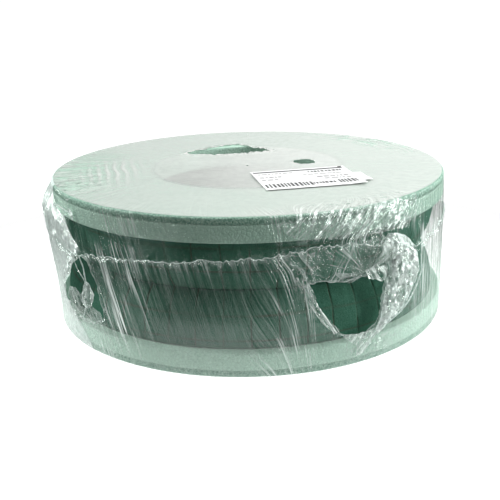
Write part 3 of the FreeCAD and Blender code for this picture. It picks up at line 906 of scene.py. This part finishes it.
def make_bottom_film():
    """The film under the lower base, which bears on the ground."""
    az, radius, x, y = disc(240, 50)
    wrinkle = creases(x / 14, y / 9, 81) + creases(y / 13, x / 21, 82)
    height = 0.20 + 0.08 * wrinkle * step(radius, FILM_RADIUS, 140) * step(radius, 0, 20)
    height = height * step(radius, FILM_RADIUS, 140) + FILM_LOW * step(radius, 140, FILM_RADIUS)
    points = place(az, radius, np.maximum(height, 0.02))
    haze = 0.12 + 0.10 * noise(x / 20, y / 20, 83)
    film_piece("film_bottom", points, haze, 0.8, 0.3, stacked(x, y, 0.0), nodes=["film_bottom_panel"])


make_top_film()
make_bottom_film()


# -------- weld, tatters and strands


def make_seam():
    """The jagged bead where a hot wire parted and welded the two sheets."""
    az = np.linspace(-180, 180, 1500)
    around = az / 360
    lift = seam_lift(az)
    stand = 0.6 + 0.5 * noise(around * 300, 0, 91, 300) + 3.0 * slackness(az, lift)
    path = place(az, FILM_RADIUS + stand, MIDDLE + lift)
    thick = 0.27 + 0.14 * noise(around * 500, 0, 92, 500)
    points = tube(path, thick)
    film_piece("film_seam", points, 0.95, 0.0, 0.4, points, nodes=["film_weld_bead"])


def make_frill():
    """The puckered film at the weld: a narrow frill with torn teeth."""
    az = np.linspace(-180, 180, 1300)[None, :]
    t = np.linspace(0, 1, 5)[:, None]
    around = az / 360
    drop = 2.2 + 1.6 * noise(around * 260, 0, 93, 260) + noise(around * 90, 0, 94, 90)
    lift = seam_lift(az) + 0.4 - np.maximum(drop, 0.4) * t
    stand = 0.7 + 1.3 * t * (0.8 + noise(around * 210, t * 1.5, 95, 210))
    points = place(az, FILM_RADIUS + stand + 3.0 * slackness(az, lift), MIDDLE + lift)
    film_piece("film_seam_frill", points, 0.16 - 0.16 * t, 0.0, 0.35, points, wrap=False)


def make_tatter(name, outline, form, marks, seed, hub=None, lean=0.0, edge_haze=0.6, dull=0.0, nodes=()):
    """A torn or gathered piece of film over the side of the pack, outlined in (degrees, lift).

    form is how far it stands off, how much further its middle bows out, how deep its folds
    are and how wide, in millimetres. marks is its haze, web and streak. Its streaks run out
    from a hub, or else straight down with a lean.
    """
    stand, bow, fold, size = form
    haze, web, streak = marks
    edge = torn(to_arc(outline), 0.5, seed)
    low, high = edge.min(0) - 0.6, edge.max(0) + 0.6
    count = np.maximum(((high - low) / 0.6).astype(int), 4)
    arc, height = np.meshgrid(*(np.linspace(low[k], high[k], count[k]) for k in range(2)))
    arc, height, keep, gap = trim(arc, height, edge, keep_inside=True, wrap=False)
    if hub:
        hub_x, hub_y = to_arc([hub])[0]
        across = np.arctan2(arc - hub_x, height - hub_y) * 14
        along = np.hypot(arc - hub_x, height - hub_y)
    else:
        across, along = arc + lean * height, height
    facets = creases(arc / size, height / size, seed + 4)
    facets = facets + 0.5 * creases(arc / size * 2.1, height / size * 2.1, seed + 5)
    pulls = creases(across / 3.0, along / 18, seed + 6)
    middle = step(gap, 0, 7)
    out = stand + bow * middle + fold * (0.6 * facets + 0.5 * pulls) * (0.35 + 0.65 * middle)
    shift = 0.25 * fold * noise(arc / size, height / size, seed + 7)
    az = np.degrees((arc + shift) / FILM_RADIUS)
    points = place(az, FILM_RADIUS + np.clip(out, 0.3, 9.0), height)
    patchy = np.clip(0.75 + 1.1 * noise(arc / 3, height / 4, seed + 8), 0.05, 1.5)
    haze = haze * patchy + edge_haze * close_to(gap, 0.6)
    flow = stacked(across, along, 0.0)
    film_piece(name, points, haze, streak, web, flow, dull, nodes, wrap=False, keep=keep)


def make_strand(name, spots, thick):
    """A thin twisted string of film through (degrees, lift, stand) spots."""
    spots = np.array(spots, float)
    along = np.linspace(0, len(spots) - 1, 30 * len(spots))
    az, lift, stand = (np.interp(along, np.arange(len(spots)), spots[:, k]) for k in range(3))
    for _ in range(12):
        for line in (az, lift, stand):
            line[1:-1] = (line[:-2] + 2 * line[1:-1] + line[2:]) / 4
    path = place(az, FILM_RADIUS + stand, MIDDLE + lift)
    taper = np.sin(np.linspace(0.15, math.pi - 0.15, len(path))) ** 0.5
    points = tube(path, thick * taper * (1 + 0.35 * noise(along * 9, 0, 97)))
    film_piece(name, points, 0.85, 0.0, 0.5, points)


CRUMPLE = [
    (36.5, 33), (39.5, 32), (43.5, 27), (46.5, 20.5), (48.5, 12), (49.6, 0), (47.5, -9), (45, -17),
    (41.5, -24), (37.5, -28.5), (33.5, -33), (32.2, -31), (34, -26), (34.4, -19), (35.2, -9),
    (35.8, 1), (36.6, 10), (35.2, 20), (34.2, 27),
]
FLAP = [
    (9, 29), (13, 28.5), (19, 32), (25.4, 32.5), (29, 30), (33, 33), (36.5, 30), (37, 20), (36.5, 14),
    (32, 12.5), (28.6, 11), (27, 8.5), (24.3, 6), (20.1, 8.5), (17, 13), (15, 15), (12.5, 17.5), (10, 22),
]
STAR = [
    (18, 28), (24, 31), (30, 32), (35, 30), (37.5, 24), (37, 13), (34.5, 8), (31, 6), (28.6, 8.5),
    (25, 5), (22, 9), (20, 17),
]
HANG = [(29, 12), (33, 13), (36.4, 12), (36, 4), (34.5, 1), (32, 4), (30, 6)]
PLEAT = [
    (9.5, 25), (12.5, 20), (13.8, 11), (15.2, 3), (16.5, -8), (19.5, -18), (22.5, -27), (21, -29.5),
    (17.5, -19), (14.5, -9), (12.5, 1), (11, 10), (9, 18),
]
HEM = [
    (22, -29), (26, -32), (30, -32), (34, -30), (38, -28.5), (36, -33), (32.5, -37), (30, -45),
    (27, -48), (27.5, -40), (25, -35.5),
]
LEAF = [
    (-47.6, -1), (-46.4, -1), (-44.9, -6), (-43.7, -9), (-44.5, -14), (-45.7, -19), (-48.3, -22),
    (-50, -18), (-49.2, -9),
]
RIM = [
    (6, 50), (12, 53), (28, 53), (42, 53), (48, 50), (48, 42), (43, 33), (36, 36), (28, 34), (21, 36.5),
    (14, 38), (9, 41),
]
SAG = [
    (-59, -14), (-55, -12), (-50, -16), (-46, -20), (-42.5, -22), (-42, -29), (-46, -33), (-52, -34),
    (-58, -31), (-61, -22),
]
POINT = [
    (-51, 17), (-49.2, 15), (-51.5, 11), (-53.5, 7), (-55.5, 0), (-60.4, -9.5), (-59.5, -2),
    (-57, 8), (-54.5, 14),
]
SCRAP = [(-55, 46), (-52.5, 45.5), (-51.8, 41), (-52.6, 38), (-53.8, 41), (-55.2, 43)]
CURL = [(-57.5, 53), (-55, 51), (-52.4, 55), (-54.5, 53.2), (-56.4, 51.4)]
BACK_GATHER = [
    (127, 27), (132, 29), (136, 22), (138, 8), (136, -10), (132, -24), (129, -28), (126, -12), (125, 8),
]

BACK_GATHER_LEFT = [(-az, lift) for az, lift in BACK_GATHER[::-1]]
BACK_FORM, BACK_MARKS = (1.6, 2.0, 1.6, 5.0), (0.30, 0.7, 2.2)

# Name, outline, form, marks, seed and what else make_tatter is told.
TATTERS = [
    ("flap_front_right", FLAP, (1.4, 1.0, 1.2, 8.0), (0.0, 0.06, 0.32), 101,
     dict(lean=-0.5, edge_haze=0.25, dull=0.8)),
    ("star_front_right", STAR, (2.6, 0.8, 0.5, 9.0), (0.0, 0.03, 0.35), 111,
     dict(hub=(28.6, 11), edge_haze=0.15, dull=0.8)),
    ("hang_front_right", HANG, (2.0, 1.0, 1.4, 3.5), (0.05, 0.6, 1.6), 121, dict(lean=0.6)),
    ("pleat_front_right", PLEAT, (0.9, 0.3, 0.6, 3.5), (0.06, 0.4, 1.4), 131, dict(lean=0.6, edge_haze=0.1)),
    ("hem_front_right", HEM, (1.0, 1.0, 1.0, 4.0), (0.30, 0.7, 2.0), 141, dict(lean=-0.8)),
    ("gather_front_right", CRUMPLE, (2.4, 2.6, 0.9, 4.5), (0.85, 1.0, 1.5), 151,
     dict(hub=(36, 34), nodes=["film_ear_front_right"])),
    ("gather_front_right_inner", CRUMPLE, (1.0, 1.5, 1.6, 7.0), (0.40, 0.8, 0.8), 161, dict(lean=-0.3)),
    ("rim_front_right", RIM, (1.2, 0.6, 1.0, 4.5), (0.04, 0.5, 1.5), 147, dict(lean=-0.95, edge_haze=0.0)),
    ("sag_front_left", SAG, (0.6, 0.6, 0.8, 9.0), (0.16, 0.1, 0.6), 167, dict(lean=0.8, edge_haze=0.1)),
    ("leaf_front_left", LEAF, (2.6, 1.0, 0.9, 5.0), (0.38, 0.5, 0.8), 171,
     dict(nodes=["film_ear_front_left"])),
    ("point_front_left", POINT, (2.5, 1.0, 1.4, 4.0), (0.60, 0.8, 0.8), 181, {}),
    ("scrap_front_left", SCRAP, (0.8, 0.8, 1.0, 2.5), (0.60, 0.9, 0.5), 191, {}),
    ("curl_front_left", CURL, (0.6, 0.3, 0.5, 2.0), (0.80, 0.6, 0.0), 201, {}),
    ("gather_back_right", BACK_GATHER, BACK_FORM, BACK_MARKS, 211,
     dict(hub=(131, 30), nodes=["film_ear_back_right"])),
    ("gather_back_left", BACK_GATHER_LEFT, BACK_FORM, BACK_MARKS, 221,
     dict(hub=(-131, 30), nodes=["film_ear_back_left"])),
]

# Thickness, and the (degrees, lift, stand) spots that the string passes.
STRANDS = {
    "leaf_outer": (0.42, [(-49.6, 15, 2.5), (-47.6, 9, 3), (-46.9, 1, 3.2), (-46.8, -2, 3)]),
    "leaf_inner": (0.30, [(-53, 12, 2.5), (-51, 5, 2.4), (-48, 0, 2.8), (-47.4, -2, 3)]),
    "tail": (0.34, [(-48.3, -21, 2.8), (-49, -25, 2.2), (-50.6, -30, 1.2), (-50.2, -34, 0.8)]),
    "rim": (0.45, [(-63, 46, 3.5), (-59, 45, 2.0), (-56, 43.7, 1.2), (-53.8, 44, 1.0)]),
    "gather": (0.55, [
        (48.8, 12, 4.5), (49.4, 0, 4.6), (47.3, -9, 4.4), (44.8, -17, 4), (41.3, -24, 3.4),
        (37, -29, 2.6), (33, -33, 1.8), (31, -37, 1.2), (30, -42, 0.8),
    ]),
}

make_seam()
make_frill()
for name, outline, form, marks, seed, more in TATTERS:
    make_tatter("film_" + name, outline, form, marks, seed, **more)
for name, (thick, spots) in STRANDS.items():
    make_strand("film_strand_" + name, spots, thick)


# -------- labels

LABEL_WIDE, LABEL_DEEP, LABEL_TURN = 73.0, 58.0, math.radians(11.3)
LABEL_AT = (43.0, -49.5)
STICKER_WIDE, STICKER_DEEP = 34.0, 27.0
STICKER_AT = (70.0, -51.5)
PAPER_ON = TOP + GROUND_FILM


def paper_spot(u, v, middle, wide, deep, above):
    """A point on a label: u right and v down from its top left corner, in millimetres."""
    x, y = u - wide / 2, deep / 2 - v
    cos, sin = math.cos(LABEL_TURN), math.sin(LABEL_TURN)
    curl = 0.7 * step(u, wide - 14, wide) * step(v, deep - 16, deep)
    wave = 0.10 * (1 + noise(u / 17, v / 21, 231))
    height = PAPER_ON + above + curl + wave
    return stacked(middle[0] + x * cos - y * sin, middle[1] + x * sin + y * cos, height)


def make_label(name, middle, wide, deep, above, node):
    """A paper label with a slightly ragged lower edge and a lifted corner."""
    u, v = np.meshgrid(np.linspace(0, wide, 64), np.linspace(0, deep, 50))
    v = v + 0.35 * noise(u / 2.2, 0 * u, 232) * step(v, deep - 3, deep)
    piece = grid(name, paper_spot(u, v, middle, wide, deep, above)[::-1])
    thick = piece.modifiers.new("thickness", "SOLIDIFY")
    thick.thickness = 0.12 * MM
    thick.offset = -1
    finish_piece(piece, paper, [node])


def make_print(name, marks, material):
    """Flat printed marks, each (left, top, right, bottom) on the main label."""
    quads = []
    for left, top, right, bottom in marks:
        count = max(int((right - left) / 1.5), 1) + 1
        u, v = np.meshgrid(np.linspace(left, right, count), np.linspace(top, bottom, 3))
        spots = paper_spot(u, v, LABEL_AT, LABEL_WIDE, LABEL_DEEP, 0.22)
        corners = [spots[:-1, :-1], spots[1:, :-1], spots[1:, 1:], spots[:-1, 1:]]
        quads.append(np.stack(corners, axis=2).reshape(-1, 3))
    corners = np.concatenate(quads) * MM
    mesh = bpy.data.meshes.new(name)
    mesh.from_pydata(corners.tolist(), [], np.arange(len(corners)).reshape(-1, 4).tolist())
    finish_piece(put(name, mesh), material)


def dashes(left, right, top, bottom, seed, longest=5.0):
    """A row of dashes of mixed lengths, standing for a line of words."""
    draw = np.random.default_rng(seed)
    marks, at = [], left
    while at < right:
        length = min(draw.uniform(0.8, longest), right - at)
        marks.append((at, top, at + length, bottom))
        at += length + 0.9 * draw.uniform(0.7, 1.6)
    return marks


def ticks(left, right, top, bottom, seed):
    """A row of upright bars of mixed widths and heights, standing for a printed code."""
    draw = np.random.default_rng(seed)
    marks, at = [], left
    while at < right:
        wide = draw.uniform(1.0, 1.8)
        marks.append((at, top + draw.uniform(0, 1.4), at + wide, bottom - draw.uniform(0, 0.6)))
        at += wide + draw.uniform(0.9, 1.5)
    return marks


make_label("sticker", STICKER_AT, STICKER_WIDE, STICKER_DEEP, 0.02, "price_sticker")
make_label("label", LABEL_AT, LABEL_WIDE, LABEL_DEEP, 0.16, "main_label")
dark_marks = [(1.5, 3.6, 70.5, 6.6), (68.0, 0.9, 70.8, 4.2)]
dark_marks += dashes(42, 69, 10, 14, 242, 2.5) + ticks(2, 35, 41, 52.5, 243)
dark_marks += dashes(36.5, 54, 45, 49.5, 244, 2.5) + ticks(55.5, 70, 41, 51.5, 245)
faint_marks = dashes(4, 30, 10.5, 13, 241) + dashes(3, 20, 20, 23.5, 251) + dashes(3, 16, 28, 31, 252)
faint_marks += dashes(36, 66, 19, 21.5, 254) + dashes(44, 69, 27, 31, 255) + dashes(48, 68, 34, 37, 256)
make_print("label_print", dark_marks, ink)
make_print("label_print_faint", faint_marks, faint_ink)


# -------- scene


def make_camera():
    """Looks along +Y from a little above, rolled by a degree and a half."""
    distance_m, elevation, roll = 0.675, 0.2941, 0.0251
    back = Vector((0, -math.cos(elevation), math.sin(elevation)))
    right, up = Vector((1, 0, 0)), Vector((0, math.sin(elevation), math.cos(elevation)))
    tilted_right = right * math.cos(roll) - up * math.sin(roll)
    tilted_up = right * math.sin(roll) + up * math.cos(roll)
    camera = put("camera", bpy.data.cameras.new("camera"))
    turned = Matrix((tilted_right, tilted_up, back)).transposed().to_4x4()
    camera.matrix_world = Matrix.Translation(Vector((0, 0, MIDDLE * MM)) + back * distance_m) @ turned
    camera.data.sensor_width = 36.0
    camera.data.lens = 60.65
    camera.data.shift_x, camera.data.shift_y = 0.002, -0.0376
    camera.data.clip_start, camera.data.clip_end = 0.05, 100.0
    bpy.context.scene.camera = camera


def stage(name, material, seen):
    """Names what was just added, and shows it to the camera alone, or to all but the camera."""
    thing = bpy.context.object
    thing.name = name
    thing.data.materials.append(material)
    thing.visible_camera = seen
    for ray in ("diffuse", "glossy", "transmission", "shadow", "volume_scatter"):
        setattr(thing, "visible_" + ray, not seen)


def add_disc(radius_m, height_m):
    spot = (0, 0, height_m)
    bpy.ops.mesh.primitive_circle_add(vertices=96, radius=radius_m, fill_type="NGON", location=spot)


def make_floor():
    """A plain white floor that only the camera sees."""
    add_disc(30, -0.001)
    s = new_material("floor")
    glow = s.add("Emission", {"Color": (1, 1, 1, 1), "Strength": 1.0})
    matt = s.add("BsdfDiffuse", {"Color": (0.5, 0.5, 0.5, 1)})
    stage("floor", s.done(s.add("AddShader", {0: glow, 1: matt})), seen=True)


def make_bounce():
    """The light that the white table throws up round the pack's foot, unseen by the camera."""
    add_disc(0.36, -0.0005)
    s = new_material("floor_bounce")
    reach = s.add("VectorMath", {0: s.position()}, "Value", operation="LENGTH")
    glow = s.add("Emission", {"Strength": s.ramp(reach, 0.155, 0.35, 1.10, 0.0)})
    stage("floor_bounce", s.done(glow), seen=False)


def make_backdrop():
    """A white dome that only the camera sees."""
    bpy.ops.mesh.primitive_uv_sphere_add(segments=48, ring_count=24, radius=9)
    s = new_material("backdrop")
    stage("backdrop", s.done(s.add("Emission", {"Strength": 1.05})), seen=True)


def make_sky():
    """Light from above, a bright wall behind that is brighter at the right, and a dim front."""
    world = bpy.data.worlds.new("studio")
    bpy.context.scene.world = world
    s = Shader(world)
    toward = s.add("TexCoord", output="Generated")
    x, y, z = (s.add("SeparateXYZ", {0: toward}, axis) for axis in ("X", "Y", "Z"))
    wall = s.product(s.ramp(y, 0.35, 0.9), s.ramp(x, -0.32, 0.28, 0.55, 1.15))
    above = s.ramp(z, 0.25, 0.95, 0.0, 0.75)
    strength = s.product(s.total(wall, above, 0.04), s.ramp(z, -0.03, 0.02, 0.10, 1.0))
    s.done(s.add("Background", {"Strength": strength}), "OutputWorld")


def make_light(name, spot, size, power):
    light = bpy.data.lights.new(name, "AREA")
    light.shape = "RECTANGLE"
    light.size, light.size_y = size
    light.energy = power
    lamp = put(name, light)
    aim = Vector((0, 0, 0.06)) - Vector(spot)
    lamp.matrix_world = Matrix.Translation(Vector(spot)) @ aim.to_track_quat("-Z", "Y").to_matrix().to_4x4()
    lamp.visible_camera = False


make_camera()
make_floor()
make_bounce()
make_backdrop()
make_sky()
make_light("softbox_above", (0.25, -0.12, 1.25), (0.6, 0.4), 6.6)
make_light("side_left", (-1.0, 0.30, 0.50), (0.2, 0.9), 14.0)
make_light("side_right", (1.0, 0.25, 0.45), (0.2, 0.9), 10.0)
make_light("glint_left", (-0.80, -0.60, 0.05), (0.04, 0.9), 1.0)
make_light("glint_right", (1.0, -0.40, 0.20), (0.14, 0.9), 6.5)

bpy.context.scene.view_settings.view_transform = "Standard"
